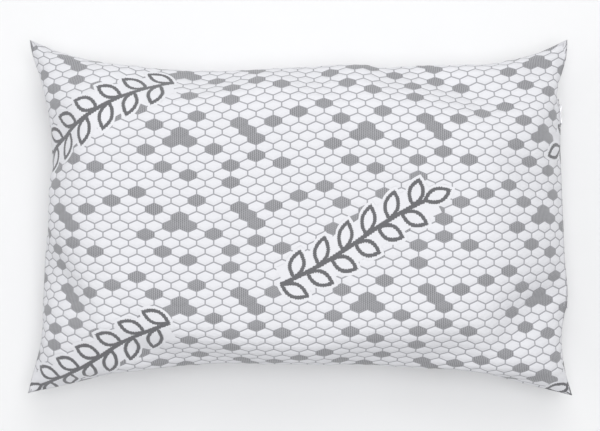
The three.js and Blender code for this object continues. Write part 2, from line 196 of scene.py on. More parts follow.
class PillowColours(bpy.types.PropertyGroup):
    """Colours of the pillow's cloths, threads and fill."""

    knit: colour("Knit", "Ground of the knit cover", (0.85, 0.85, 0.88))
    lines: colour("Cell Lines", "Outlines of the knit's cells", (0.33, 0.33, 0.355))
    filled: colour("Filled Cells", "Cells knitted in the second yarn", (0.32, 0.32, 0.335))
    motif: colour("Sprigs", "Strokes of the leaf sprigs", (0.085, 0.085, 0.092))
    thread: colour("Thread", "Sewing thread", (0.78, 0.78, 0.81))
    tape: colour("Zipper Tape", "Woven tape of the zipper", (0.76, 0.76, 0.80))
    coil: colour("Zipper Coil", "Monofilament of the zipper", (0.82, 0.82, 0.85))
    metal: colour("Zipper Metal", "Plated slider, pull tab and stops", (0.60, 0.60, 0.62))
    ribbon: colour("Care Label", "Satin ribbon of the care label", (0.84, 0.84, 0.82))
    liner: colour("Liner", "Woven liner", (0.83, 0.83, 0.81))
    foam: colour("Foam", "Shredded foam", (0.17, 0.18, 0.19))
    floor: colour("Floor", "Floor under the pillow", (0.92, 0.92, 0.92))


# ---- shader maths --------------------------------------------------------------------------------
def arithmetic(operation, reflected=False):
    """A method that adds one Math node, with the wire first, or last where it is the reflected form."""

    def method(self, *others):
        return self.finish.math(operation, *((*others, self) if reflected else (self, *others)))

    return method


class Wire:
    """A number on its way through a material. Arithmetic on it adds Math nodes."""

    def __init__(self, finish, socket):
        self.finish = finish
        self.socket = socket

    __add__ = __radd__ = arithmetic("ADD")
    __mul__ = __rmul__ = arithmetic("MULTIPLY")
    __sub__, __rsub__ = arithmetic("SUBTRACT"), arithmetic("SUBTRACT", reflected=True)
    __truediv__, __rtruediv__ = arithmetic("DIVIDE"), arithmetic("DIVIDE", reflected=True)
    __pow__, __rpow__ = arithmetic("POWER"), arithmetic("POWER", reflected=True)
    __mod__ = arithmetic("FLOORED_MODULO")
    __lt__, __gt__ = arithmetic("LESS_THAN"), arithmetic("GREATER_THAN")
    __abs__ = arithmetic("ABSOLUTE")
    floor, sine, sqrt = arithmetic("FLOOR"), arithmetic("SINE"), arithmetic("SQRT")
    least, most = arithmetic("MINIMUM"), arithmetic("MAXIMUM")

    def between(self, low, high):
        return self.most(low).least(high)

    def wave(self, pitch):
        """A wave from 0 to 1 that comes again every pitch."""
        return (self * (math.tau / pitch)).sine() * 0.5 + 0.5

    def rise(self, start, end):
        """0 up to start, 1 from end on, and a smooth rise between them. It falls if end is the lower."""
        node = self.finish.node("ShaderNodeMapRange", {"interpolation_type": "SMOOTHSTEP"},
                                {"Value": self, "From Min": start, "From Max": end})
        return Wire(self.finish, node.outputs["Result"])


class Finish:
    """A material in the making: its nodes, and the shader that they feed."""

    def __init__(self, name, **uniform):
        self.material = bpy.data.materials.new(name)
        self.material.use_nodes = True
        self.nodes = self.material.node_tree.nodes
        self.links = self.material.node_tree.links
        self.shader = self.nodes["Principled BSDF"]
        for socket, value in uniform.items():
            self.shader.inputs[socket.replace("_", " ").title().replace("Ior", "IOR")].default_value = value

    def node(self, kind, settings=None, values=None):
        """Adds a node: its settings first, then a number, a colour or a link for each named socket."""
        made = self.nodes.new(kind)
        for key, value in (settings or {}).items():
            if key == "stops":
                ramp = made.color_ramp
                while len(ramp.elements) < len(value):
                    ramp.elements.new(1)
                for element, (place, shade) in zip(ramp.elements, value):
                    element.position = place
                    element.color = shade
            elif key == "ramp_interpolation":
                made.color_ramp.interpolation = value
            else:
                setattr(made, key, value)
        for key, value in (values or {}).items():
            self.put(made.inputs[key], value)
        return made

    def put(self, socket, value):
        """Links a wire or a socket to the socket, or sets its value."""
        if isinstance(value, Wire):
            value = value.socket
        if isinstance(value, bpy.types.NodeSocket):
            self.links.new(value, socket)
        else:
            socket.default_value = value

    def math(self, operation, *values):
        """One Math node on wires and numbers."""
        made = self.node("ShaderNodeMath", {"operation": operation}, dict(enumerate(values)))
        return Wire(self, made.outputs[0])

    def place(self, uv=None):
        """The surface's coordinates in millimetres: the named map's, or the object's own."""
        if uv:
            source = self.node("ShaderNodeUVMap", {"uv_map": uv}).outputs["UV"]
        else:
            source = self.node("ShaderNodeTexCoord").outputs["Object"]
        scaled = self.node("ShaderNodeVectorMath", {"operation": "SCALE"}, {0: source, "Scale": 1000})
        parts = self.node("ShaderNodeSeparateXYZ", values={0: scaled.outputs[0]})
        return scaled.outputs[0], [Wire(self, s) for s in parts.outputs]

    def noise(self, vector, pitch, detail=2):
        """Soft noise from 0 to 1, its lumps about pitch millimetres across."""
        values = {"Vector": vector, "Scale": 1 / pitch, "Detail": detail}
        return Wire(self, self.node("ShaderNodeTexNoise", values=values).outputs[0])

    def crumbs(self, vector, pitch):
        """Distance from the nearest of scattered points, and a random colour for each."""
        made = self.node("ShaderNodeTexVoronoi", values={"Vector": vector, "Scale": 1 / pitch})
        return Wire(self, made.outputs["Distance"]), made.outputs["Color"]

    def mix(self, factor, low, high):
        """Colour low where factor is 0 and high where it is 1."""
        values = [v if isinstance(v, bpy.types.NodeSocket) else (*v, 1) for v in (low, high)]
        made = self.node("ShaderNodeMix", {"data_type": "RGBA"}, {0: factor, 6: values[0], 7: values[1]})
        return made.outputs[2]

    def shaded(self, factor, shade, low, high):
        """The shade, low times as light where factor is 0 and high times where it is 1."""
        return self.mix(factor, *(tuple(min(1, c * share) for c in shade) for share in (low, high)))

    def done(self, base, roughness, height):
        """Feeds the shader; height is in millimetres."""
        bump = self.node("ShaderNodeBump", values={"Height": height, "Distance": MM, "Strength": 1})
        for socket, value in (("Base Color", base), ("Roughness", roughness), ("Normal", bump.outputs[0])):
            self.put(self.shader.inputs[socket], value)
        return self.material


# ---- materials -----------------------------------------------------------------------------------
COLUMN = 22.35  # from one cell of the knit to the next along a row, in millimetres
ROW = 11.1  # from one row of cells to the next
POINT = 0.43 * ROW  # height of a cell's pointed end
SIDE = ROW - POINT  # length of its upright side
FIRST_CELL = (-157.8, 0.8)  # middle of the chart's first cell on the cloth
SPRIG_AT = (86.0, -31.0)  # middle of a leaf sprig on the cloth
SPRIG_TURN = math.radians(28)
SPRIG_STEP = (33 * COLUMN, 30 * ROW)  # a sprig comes again after this, and upside down half way
SPRIG_REACH = (150, 60)  # no part of a sprig lies further from its middle, along it and across


def cell_lattice(u, v, odd):
    """Every second row of cells: signed distance to the nearest cell's edge, its column and its row."""
    x = (u - (FIRST_CELL[0] + odd * COLUMN / 2)) / COLUMN
    y = (FIRST_CELL[1] - odd * ROW - v) / (2 * ROW)
    column = (x + 0.5).floor()
    pair = (y + 0.5).floor()
    dx = abs(x - column) * COLUMN
    dy = abs(y - pair) * (2 * ROW)
    slope = 2 * POINT / COLUMN
    pointed = (dy + dx * slope - (SIDE / 2 + POINT)) / math.hypot(1, slope)
    return (dx - COLUMN / 2).most(pointed), column, pair * 2 + odd


def filled_cells(finish, row, column):
    """1 in the cells that the knitting chart fills."""
    shades = [sum(2**i for i, mark in enumerate(line) if mark == "#") / BITS for line in CHART]
    stops = [(n / len(CHART), (s, s, s, 1)) for n, s in enumerate(shades)]
    place = (row % len(CHART) + 0.5) / len(CHART)
    ramp = finish.node("ShaderNodeValToRGB", {"ramp_interpolation": "CONSTANT", "stops": stops}, {0: place})
    marks = (Wire(finish, ramp.outputs[0]) * BITS + 0.5).floor()
    return (marks / 2.0 ** (column % len(CHART[0]))).floor() % 2


def sprig(u, v):
    """Distance to the strokes of the leaf sprigs, and to the shape that they enclose."""
    turned = []
    for half in (0, 1):
        x = u - (SPRIG_AT[0] + half * SPRIG_STEP[0] / 2)
        y = v - (SPRIG_AT[1] + half * SPRIG_STEP[1] / 2)
        x = (x / SPRIG_STEP[0] + 0.5) % 1 * SPRIG_STEP[0] - SPRIG_STEP[0] / 2
        y = (y / SPRIG_STEP[1] + 0.5) % 1 * SPRIG_STEP[1] - SPRIG_STEP[1] / 2
        angle = -SPRIG_TURN - half * math.pi
        cos, sin = math.cos(angle), math.sin(angle)
        turned.append((x * cos - y * sin, x * sin + y * cos))
    first, second = turned
    near = (abs(first[0]) < SPRIG_REACH[0]) * (abs(first[1]) < SPRIG_REACH[1])
    x = second[0] + near * (first[0] - second[0])
    y = second[1] + near * (first[1] - second[1])
    bend, bend_run = 4, 40
    y = y - (x / bend_run).sine() * bend

    leaf_half, leaf_wide, leaf_step, lean = 17.0, 8.6, 36.0, math.radians(50)
    first_leaf, last_leaf, root_gap, end_leaf = -3, 2, 2, 107
    stem_middle, stem_half, stem_thick = -16, 108, 0.4
    band_middle, band_half, band_wide = -10, 106, 17
    side = abs(y)
    moved = x + (y < 0) * (leaf_step / 2)
    nearest = ((moved - side / math.tan(lean)) / leaf_step + 0.5).floor().between(first_leaf, last_leaf)
    root = moved - nearest * leaf_step

    def leaf(along, across):
        share = along / leaf_half
        fall = (share * (2 * leaf_wide / leaf_half)) ** 2
        return (across - (1 - share * share) * leaf_wide) / (fall + 1).sqrt()

    paired = leaf(root * math.cos(lean) + side * math.sin(lean) - leaf_half - root_gap,
                  abs(side * math.cos(lean) - root * math.sin(lean)))
    ending = leaf(x - end_leaf, side)
    stem = (side - stem_thick).most(abs(x - stem_middle) - stem_half)
    leaves = paired.least(ending)
    band = (side - band_wide).most(abs(x - band_middle) - band_half)
    return abs(leaves).least(stem), leaves.least(stem).least(band)


def knit_finish(colours):
    """Double-knit jacquard: puffed cells, filled cells, leaf sprigs, and the stitches of the knit, with
    painted shade between the stitches of the filled cells.
    """
    finish = Finish("puffed_knit", sheen_weight=0.25, sheen_roughness=0.6, specular_ior_level=0.25)
    vector, (u, v, _) = finish.place("cloth")
    even, even_column, even_row = cell_lattice(u, v, 0)
    odd, odd_column, odd_row = cell_lattice(u, v, 1)
    shift = odd < even
    distance = even.least(odd)
    column = even_column + shift * (odd_column - even_column)
    row = even_row + shift * (odd_row - even_row)
    strokes, enclosed = sprig(u, v)
    wale, course = 1.65, 1.15  # from one stitch to the next across, and from one row to the next
    rib, twill, bar = 2.5, 5.0, 2.3  # pitches of the second yarn's speckle
    clear = enclosed.rise(6.3, 5.7)  # the cells stop about 6 mm from a sprig
    ragged = (v / course).floor() % 2 - 0.5 + ((u / wale).floor() % 2 - 0.5) * 0.8
    ink = (strokes + ragged * 0.55).rise(2.5, 2.2)  # half of a stroke, its edge stepped by the stitches
    lines = distance.rise(-1.15, -0.6) * (1 - clear)  # half of a line, from a cell's edge inwards
    filled = filled_cells(finish, row, column) * (1 - clear)

    across = abs(u / wale % 1 - 0.5)
    stitch = (v / course + across).wave(1)
    knit = stitch * (1 - (across * 2) ** 3)
    ribs = ((u + finish.noise(vector, 90) * 2.4) * (math.tau / rib)).sine()
    checked = ribs + (u * (math.tau / twill)).sine() * (v * (math.tau / bar)).sine()
    speckle = (checked * 1.5).between(-1, 1) * 0.5 + 0.5
    drift = finish.noise(vector, 60)

    ground = finish.shaded(drift, colours.knit, 0.97, 1.02)
    lined = finish.mix(lines * 0.9, ground, colours.lines)
    # the filled cells' grey is the second yarn's speckle plus painted shade: lighter on the stitches'
    # raised loops and darker between them
    grey = finish.shaded((speckle * 0.8 + knit * 0.2).between(0, 1), colours.filled, 0.6, 1.5)
    patched = finish.mix(filled, lined, grey)
    inked = finish.mix(ink * (0.86 + knit * 0.14), patched, colours.motif)
    puff = distance.rise(-0.3, -5.0) * (1 - clear) * 0.8 + clear * 0.3
    height = puff + knit * 0.16 - ink * 0.25
    return finish.done(base=inked, roughness=0.93 - knit * 0.08, height=height)


def thread_finish(colours):
    finish = Finish("sewing_thread", sheen_weight=0.3, specular_ior_level=0.35)
    _, (x, y, z) = finish.place()
    ply = (y + z * 0.6 + x * 0.6).wave(0.45)
    # painted shade: the thread is darker in the grooves between its plies, where the bump is low, and
    # lighter on their crests
    base = finish.shaded(ply, colours.thread, 0.82, 1)
    return finish.done(base=base, roughness=0.75 - ply * 0.15, height=ply * 0.06)


def tape_finish(colours):
    finish = Finish("herringbone_tape", sheen_weight=0.2, specular_ior_level=0.3)
    _, (_, y, z) = finish.place()
    bone = abs(z / 3.2 % 1 - 0.5) * 2  # herringbone, changing sides across the tape
    twill = (y / 0.62 + bone * 2.2).wave(1)
    pick = z.wave(0.42)
    weave = twill * 0.7 + pick * 0.3
    # painted shade: the tape is darker in the weave's hollows, where the bump is low, and lighter on the
    # yarns' crests
    base = finish.shaded(weave, colours.tape, 0.84, 1.04)
    return finish.done(base=base, roughness=0.9 - weave * 0.12, height=weave * 0.09)


def coil_finish(colours):
    finish = Finish("nylon_coil", specular_ior_level=0.55)
    vector, _ = finish.place()
    haze = finish.noise(vector, 3.0)
    base = finish.shaded(haze, colours.coil, 0.94, 1.03)
    return finish.done(base=base, roughness=haze * 0.2 + 0.28, height=finish.noise(vector, 0.35) * 0.01)


def metal_finish(colours):
    finish = Finish("plated_metal", metallic=1.0)
    vector, _ = finish.place()
    cast = finish.noise(vector, 0.5, 3)
    rubbed = finish.noise(vector, 2.2, 2)
    scratches = finish.node("ShaderNodeVectorMath", {"operation": "MULTIPLY"}, {0: vector, 1: (1, 0.12, 1)})
    fine = finish.noise(scratches.outputs[0], 0.12, 2)
    base = finish.shaded(rubbed, colours.metal, 0.86, 1.12)
    return finish.done(base=base, roughness=rubbed * 0.22 + fine * 0.12 + 0.17,
                       height=cast * 0.012 + fine * 0.006)


def ribbon_finish(colours):
    finish = Finish("satin_ribbon", sheen_weight=0.1, specular_ior_level=0.5)
    _, (u, v, _) = finish.place("cloth")
    satin = (u / 0.30 + (v / 0.9).floor() * 0.37).wave(1)
    pick = v.wave(0.32)
    # painted shade: the ribbon is darker between its satin floats, where the bump is low
    base = finish.shaded(satin, colours.ribbon, 0.93, 1.03)
    return finish.done(base=base, roughness=0.42 + pick * 0.15, height=satin * 0.02 + pick * 0.02)


def liner_finish(colours):
    """Plain weave: warp over weft and weft over warp, with slubs, and painted shade in the hollows between
    the yarns.
    """
    finish = Finish("plain_weave", sheen_weight=0.15, specular_ior_level=0.3)
    vector, (u, v, _) = finish.place("cloth")
    pitch = 0.55
    over = ((u / pitch).floor() + (v / pitch).floor()) % 2
    warp = ((u * (math.pi / pitch)).sine()) ** 2
    weft = ((v * (math.pi / pitch)).sine()) ** 2
    yarn = warp * over + weft * (1 - over)
    slub = finish.noise(vector, 4.0, 3)
    # the colour is partly painted shade, darker in the weave's hollows where the bump is low, and partly
    # the slubs' random tone
    base = finish.shaded(yarn * 0.6 + slub * 0.4, colours.liner, 0.86, 1.05)
    return finish.done(base=base, roughness=0.92 - yarn * 0.08, height=yarn * 0.1 + slub * 0.08)


def foam_finish(colours):
    """Crumbs of grey foam with white ones among them, each with open pores, filled with painted shade."""
    finish = Finish("foam_crumbs", specular_ior_level=0.2)
    vector, _ = finish.place()
    near, shade = finish.crumbs(vector, 9.0)
    pores, _ = finish.crumbs(vector, 0.8)
    split = finish.node("ShaderNodeSeparateColor", values={0: shade})
    white = Wire(finish, split.outputs[0]) > 0.7
    tone = Wire(finish, split.outputs[1])
    grey = finish.shaded(tone, colours.foam, 0.8, 1.5)
    base = finish.mix(white * 0.9, grey, (0.68, 0.68, 0.66))
    # painted shade: the middles of the pores are darkened towards black, where the bump sinks in
    base = finish.mix(pores.rise(0.35, 0.1) * 0.45, base, (0.03, 0.03, 0.03))
    return finish.done(base=base, roughness=0.95 - near * 0.05, height=pores * 0.35 - near * 2.0)


def floor_finish(colours):
    finish = Finish("pale_floor", specular_ior_level=0.15)
    vector, _ = finish.place()
    grain = finish.noise(vector, 300.0, 3)
    base = finish.shaded(grain, colours.floor, 0.995, 1.005)
    return finish.done(base=base, roughness=0.85 + grain * 0.05, height=finish.noise(vector, 2.0, 2) * 0.01)


FINISHES = {
    "knit_cover": knit_finish,
    "white_thread": thread_finish,
    "zipper_tape": tape_finish,
    "zipper_coil": coil_finish,
    "zipper_metal": metal_finish,
    "label_ribbon": ribbon_finish,
    "liner_cloth": liner_finish,
    "shredded_foam": foam_finish,
    "floor": floor_finish,
}

mixed = {}


def finish_of(name):
    """The material for a slot, made the first time that it is asked for."""
    if name not in mixed:
        mixed[name] = FINISHES[name](bpy.context.scene.pillow_colours)
    return mixed[name]


# ---- the filled cover's shape --------------------------------------------------------------------
def sewn_sheets(sizes, nu, nv):
    """Two flat cloths, a finger apart in the middle and sewn together round their edges."""
    bm = bmesh.new()
    place = bm.verts.layers.float_vector.new("place")
    bmesh.ops.create_grid(bm, x_segments=nu, y_segments=nv, size=1)
    for v in bm.verts:
        v[place] = (v.co.x, v.co.y, 1)
    lower = bmesh.ops.duplicate(bm, geom=bm.verts[:] + bm.edges[:] + bm.faces[:])["geom"]
    bmesh.ops.reverse_faces(bm, faces=[g for g in lower if isinstance(g, bmesh.types.BMFace)])
    for v in lower:
        if isinstance(v, bmesh.types.BMVert):
            v[place] = (v.co.x, v.co.y, -1)
    sewn, half_gap = [], 0.012
    for v in bm.verts:
        p, q, side = v[place]
        to_edge = min(sizes.cloth_length / 2 * (1 - abs(p)), sizes.cloth_width / 2 * (1 - abs(q)))
        if to_edge < 1e-6:
            sewn.append(v)
        v.co = (p * sizes.cloth_length / 2, q * sizes.cloth_width / 2, side * min(half_gap, to_edge / 2))
    for v in sewn:
        v.co.z = 0
    bmesh.ops.remove_doubles(bm, verts=sewn, dist=1e-5)
    mesh = bpy.data.meshes.new("cloth_trial")
    bm.to_mesh(mesh)
    bm.free()
    return mesh


def seam_on_outline(places, flat):
    """Where each seam point ends up; the other points stay as they are."""
    p, q = places[:, 0], places[:, 1]
    drawn = flat.copy()
    for knots, at, sign, run in (
        (BACK_EDGE, q, 1, 0),
        (FRONT_EDGE, q, -1, 0),
        (LEFT_EDGE, p, -1, 1),
        (right_knots(), p, 1, 1),
    ):
        mine = at * sign > 1 - 1e-5
        share = (places[mine, run] + 1) / 2
        along = (knots[0][0] + share * (knots[-1][0] - knots[0][0])) * MM
        drawn[mine, run] = along
        drawn[mine, 1 - run] = through(knots, along)
    return drawn


CLOTH = {
    "quality": 6, "mass": 0.15, "air_damping": 3,
    "tension_stiffness": 20, "compression_stiffness": 20, "shear_stiffness": 5, "bending_stiffness": 0.3,
    "tension_damping": 5, "compression_damping": 5, "shear_damping": 5, "bending_damping": 0.5,
    "use_pressure": True, "uniform_pressure_force": 0.3, "pressure_factor": 3, "use_pressure_volume": True,
}


def filled_cloth(sizes):
    """Draws the sewn cloths' seam in to the outline while the fill swells them.

    Returns the top's and the bottom's points as arrays over the cloth, front to back and left to right,
    from the seam's plane.
    """
    coarse = 1
    nu, nv = sizes.cells_long // coarse, sizes.cells_wide // coarse
    trial = bpy.data.objects.new("cloth_trial", sewn_sheets(sizes, nu, nv))
    scene = bpy.context.scene
    scene.collection.objects.link(trial)
    places = np.array([d.vector[:] for d in trial.data.attributes["place"].data])
    flat = np.array([v.co[:] for v in trial.data.vertices])
    column = np.rint((places[:, 0] + 1) / 2 * nu).astype(int)
    row = np.rint((places[:, 1] + 1) / 2 * nv).astype(int)
    sewn = (column % nu == 0) | (row % nv == 0)
    seam = trial.vertex_groups.new(name="seam")
    seam.add(np.flatnonzero(sewn).tolist(), 1, "REPLACE")
    trial.shape_key_add(name="flat")
    drawn = trial.shape_key_add(name="drawn in")
    drawn.data.foreach_set("co", seam_on_outline(places, flat).ravel())
    for value, step in ((0, 1), (1, sizes.steps * 2 // 5)):
        drawn.value = value
        drawn.keyframe_insert("value", frame=step)
    modifier = trial.modifiers.new("cloth", "CLOTH")
    cloth = modifier.settings
    cloth.vertex_group_mass = seam.name
    cloth.target_volume = sizes.fill_volume
    for key, value in CLOTH.items():
        setattr(cloth, key, value)
    cloth.effector_weights.gravity = 0
    modifier.collision_settings.use_collision = False
    modifier.point_cache.frame_start = 1
    modifier.point_cache.frame_end = sizes.steps
    for step in range(1, sizes.steps + 1):
        scene.frame_set(step)
    swollen = trial.evaluated_get(bpy.context.evaluated_depsgraph_get()).to_mesh()
    points = np.empty(len(swollen.vertices) * 3)
    swollen.vertices.foreach_get("co", points)
    points = points.reshape(-1, 3)
    bpy.data.objects.remove(trial)
    scene.frame_set(1)
    if not np.isfinite(points).all() or np.ptp(points[:, 2]) < 0.05:
        raise RuntimeError("the cloth did not fill")

    panels = []
    for side in (1, -1):
        mine = sewn | (places[:, 2] * side > 0)
        panel = np.zeros((nv + 1, nu + 1, 3))
        panel[row[mine], column[mine]] = points[mine]
        panels.append(panel)
    return panels


def through(knots, x):
    """Smooth curve through the knots, in millimetres, at x."""
    at, value = (np.array(k, float) * MM for k in zip(*knots))
    slope = np.gradient(value, at)
    k = np.clip(np.searchsorted(at, x) - 1, 0, len(at) - 2)
    span = at[k + 1] - at[k]
    t = np.clip((x - at[k]) / span, 0, 1)
    return (
        value[k] * (1 + 2 * t) * (1 - t) ** 2
        + value[k + 1] * t * t * (3 - 2 * t)
        + slope[k] * span * t * (1 - t) ** 2
        - slope[k + 1] * span * t * t * (1 - t)
    )


def ease(t):
    """A smooth rise from 0 at 0 to 1 at 1."""
    t = np.clip(t, 0, 1)
    return t * t * (3 - 2 * t)


def zipper_edge(y):
    """X of the cover's edge along the zipper."""
    start = ZIP @ Vector((EDGE_OUT, 0, 0))
    return start.x + (y - start.y) * ALONG.x / ALONG.y


def zipper_window(y, margin):
    """1 along the zipper and 0 beyond margin past its ends."""
    return ease((y - EDGE_FRONT.y) / margin + 1) * ease((EDGE_BACK.y - y) / margin + 1)


def right_knots():
    """The right-hand edge: round its two corners, and straight along the zipper between them."""
    line = [(y / MM, float(zipper_edge(y)) / MM) for y in np.linspace(EDGE_FRONT.y, EDGE_BACK.y, 5)]
    return RIGHT_FRONT + line + RIGHT_BACK


def calm(panel, passes):
    """Smooths small creases out of a panel; its edge stays."""
    for _ in range(passes):
        around = (panel[:-2, 1:-1] + panel[2:, 1:-1] + panel[1:-1, :-2] + panel[1:-1, 2:]) / 4
        panel[1:-1, 1:-1] += (around - panel[1:-1, 1:-1]) * 0.7


def smoothed(values, reach):
    """A line of values smoothed over reach places to each side."""
    padded = np.pad(values, reach, mode="edge")
    window = np.hanning(2 * reach + 3)[1:-1]
    return np.convolve(padded, window / window.sum(), mode="valid")


def hold_in(panels, reach):
    """Draws in what bulges past the outline, so that the seam and the walls stay within it."""
    start = 0.45  # what lies nearer the middle than this share of the way out stays
    edges = ((1, BACK_EDGE, 1), (1, FRONT_EDGE, -1), (0, LEFT_EDGE, -1), (0, right_knots(), 1))
    for axis, knots, sign in edges:
        lines = [panel if axis == 1 else panel.transpose(1, 0, 2) for panel in panels]
        half = lines[0].shape[0] // 2
        mine = slice(half, None) if sign > 0 else slice(None, half + 1)
        over = np.max([
            ((line[mine, :, axis] - through(knots, line[mine, :, 1 - axis])) * sign).max(0)
            for line in lines
        ], axis=0)
        over = smoothed(np.maximum(over, 0), reach)
        for line in lines:
            out = line[mine, :, axis] * sign
            edge = np.maximum(out.max(0), 1e-6)
            share = np.clip((out / edge - start) / (1 - start), 0, 1)
            line[mine, :, axis] -= sign * over * share ** 2


def settle(panels):
    """Crown to its height, and the underside pressed flat on the floor."""
    top, bottom = panels
    top[..., 2] *= CROWN_RISE / top[..., 2].max()
    sag, soft = 1.4, 0.3  # how far the fill would sag below the floor, and how softly it meets it
    depth = sag * bottom[..., 2] / bottom[..., 2].min()
    blend = np.clip((depth - 1) / soft + 0.5, 0, 1)
    level = depth + (1 - depth) * blend - soft * blend * (1 - blend) / 2
    bottom[..., 2] = -SEAM_HEIGHT * np.where(depth > 0, level, depth)


def open_slot(panels, sizes, slot_half):
    """Parts the two panels along the zipper."""
    reach, margin = 45 * MM, 7 * MM
    top, bottom = panels
    p = np.linspace(-1, 1, top.shape[1])[None, :]
    near = np.maximum(0, 1 - (1 - p) * sizes.cloth_length / 2 / reach) ** 2
    lift = slot_half * zipper_window(top[:, -1, 1], margin)[:, None] * near
    top[..., 2] += lift
    bottom[..., 2] -= lift


def refined(panel):
    """Twice as many cells, on a smooth surface through the old points."""
    for axis in (0, 1):
        line = np.moveaxis(panel, axis, 0)
        outer = np.concatenate([[2 * line[0] - line[1]], line, [2 * line[-1] - line[-2]]])
        between = (9 * (outer[1:-2] + outer[2:-1]) - outer[:-3] - outer[3:]) / 16
        finer = np.empty((2 * len(line) - 1, *line.shape[1:]))
        finer[::2] = line
        finer[1::2] = between
        panel = np.moveaxis(finer, 0, axis)
    return panel


def outward(panel, side):
    """Outward unit normals of a panel's points."""
    across = np.gradient(panel, axis=1)
    along = np.gradient(panel, axis=0)
    normal = np.cross(across, along) * side
    return normal / np.maximum(np.linalg.norm(normal, axis=2, keepdims=True), 1e-12)


def pucker(panel, side, sizes):
    """Small gathers that the seam's thread pulls into the cloth beside it."""
    height, width = 0.42 * MM, 9 * MM
    nv, nu = panel.shape[0] - 1, panel.shape[1] - 1
    p = np.linspace(-1, 1, nu + 1)[None, :]
    q = np.linspace(-1, 1, nv + 1)[:, None]
    u, v = p * sizes.cloth_length / 2, q * sizes.cloth_width / 2
    moved = np.zeros((nv + 1, nu + 1))
    for to_edge, along, phase in (
        (sizes.cloth_length / 2 - abs(u) + 0 * v, v + 0 * u, np.where(u > 0, 0.4, 2.1)),
        (sizes.cloth_width / 2 - abs(v) + 0 * u, u + 0 * v, np.where(v > 0, 1.3, 3.4)),
    ):
        wave = (
            np.sin(along * math.tau / 0.0165 + phase + side + 1.7 * np.sin(along * 31))
            + 0.7 * np.sin(along * math.tau / 0.0247 + 2.3 * phase + 1.4 * np.sin(along * 17 + side))
            + 0.8 * np.sin(along * math.tau / 0.047 + 0.7 * phase + 1.1 * np.sin(along * 11))
        )
        reach = to_edge / width
        moved += wave * reach * np.exp(1 - reach)
    return panel + outward(panel, side) * (moved * height)[..., None]


skin = {}


def cover_skin():
    """The filled cover's top and bottom as fine arrays of points from the seam plane; made once."""
    if not skin:
        sizes = bpy.context.scene.pillow_sizes
        panels = filled_cloth(sizes)
        for panel in panels:
            calm(panel, 12)
        for reach in (6, 3, 2):
            hold_in(panels, reach)
        settle(panels)
        open_slot(panels, sizes, bpy.context.scene.zipper_sizes.slot_half)
        panels = [refined(panel) for panel in panels]
        skin["top"], skin["bottom"] = (pucker(panel, side, sizes) for panel, side in zip(panels, (1, -1)))
    return skin["top"], skin["bottom"]


def inner_skin(inset, under):
    """The skin shrunk towards its middle and let down under its creases: a layer inside the cover."""
    layers = []
    for panel, depth, side in zip(cover_skin(), (CROWN_RISE, SEAM_HEIGHT), (1, -1)):
        share = np.array([1 - inset / HALF_LENGTH, 1 - inset / HALF_WIDTH, 1 - under / depth])
        layer = panel[::2, ::2] * share
        height = layer[..., 2] * side
        for _ in range(3):
            beside = np.pad(height, 1, mode="edge")
            height = np.min([beside[1:-1, 1:-1], beside[:-2, 1:-1], beside[2:, 1:-1],
                             beside[1:-1, :-2], beside[1:-1, 2:]], axis=0)
        layer[..., 2] = height * side
        calm(layer, 10)
        layers.append(layer)
    return layers


# ---- making pieces -------------------------------------------------------------------------------
def finished(name, mesh_source, slot, *replaced, body="pillow"):
    """Puts a piece in the scene with its slot's material, its body and the CAD nodes it stands for."""
    if isinstance(mesh_source, bmesh.types.BMesh):
        mesh = bpy.data.meshes.new(name)
        mesh_source.to_mesh(mesh)
        mesh_source.free()
    else:
        mesh = mesh_source
    mesh.shade_smooth()
    mesh.materials.clear()
    mesh.materials.append(finish_of(slot))
    piece = bpy.data.objects.new(name, mesh)
    bpy.context.scene.collection.objects.link(piece)
    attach(piece, body)
    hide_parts(*replaced)
    return piece


def stretched_back(p, q):
    """How far the knit is pulled towards the back, most at the right and the back."""
    most, least_share = 9.5 * MM, 0.35
    backwards = least_share + (1 - least_share) * float(ease((q + 0.8) / 0.9))
    return most * float(ease((p + 0.45) / 0.7)) * backwards


def panel_mesh(panel, side, sizes, edge_gap, turn_in, slot_turn_in, cloth_shift):
    """One cloth panel, its edge folded in at the seam. The map "cloth" holds its flat places in metres."""
    fold_gap, fold_in, margin = 0.35, 0.5 * MM, 4 * MM
    nv, nu = panel.shape[0] - 1, panel.shape[1] - 1
    bm = bmesh.new()
    ring = bm.verts.layers.int.new("ring")
    cloth = bm.loops.layers.uv.new("cloth")
    bmesh.ops.create_grid(bm, x_segments=nu, y_segments=nv, size=1)
    for n in (1, 2):
        rim = [e for e in bm.edges if e.is_boundary]
        for g in bmesh.ops.extrude_edge_only(bm, edges=rim)["geom"]:
            if isinstance(g, bmesh.types.BMVert):
                g[ring] = n
    for face in bm.faces:
        for loop in face.loops:
            p, q = loop.vert.co.xy
            fold = (0, 0.3 * MM, turn_in)[loop.vert[ring]]
            loop[cloth].uv = (
                p * (sizes.cloth_length / 2 + fold) + cloth_shift,
                q * (sizes.cloth_width / 2 + fold) + cloth_shift * 0.37 - stretched_back(p, q),
            )
    for v in bm.verts:
        i = round((v.co.x + 1) / 2 * nu)
        j = round((v.co.y + 1) / 2 * nv)
        x, y, z = panel[j, i]
        if v.is_boundary or v[ring]:
            slot = float(zipper_window(np.array(y), margin)) if i == nu else 0
            depth = (0, fold_in, turn_in + slot * (slot_turn_in - turn_in))[v[ring]]
            x *= 1 - depth / HALF_LENGTH
            y *= 1 - depth / HALF_WIDTH
            z += side * (edge_gap if v[ring] == 0 else edge_gap * fold_gap)
        elif min(i, nu - i, j, nv - j) == 0:
            z += side * edge_gap
        v.co = (x, y, z + SEAM_HEIGHT)
    if side < 0:
        bmesh.ops.reverse_faces(bm, faces=bm.faces[:])
    return bm


def solid_wall(piece, thickness):
    """Gives a cloth its thickness, inwards."""
    wall = piece.modifiers.new("wall", "SOLIDIFY")
    wall.thickness = thickness
    wall.offset = -1


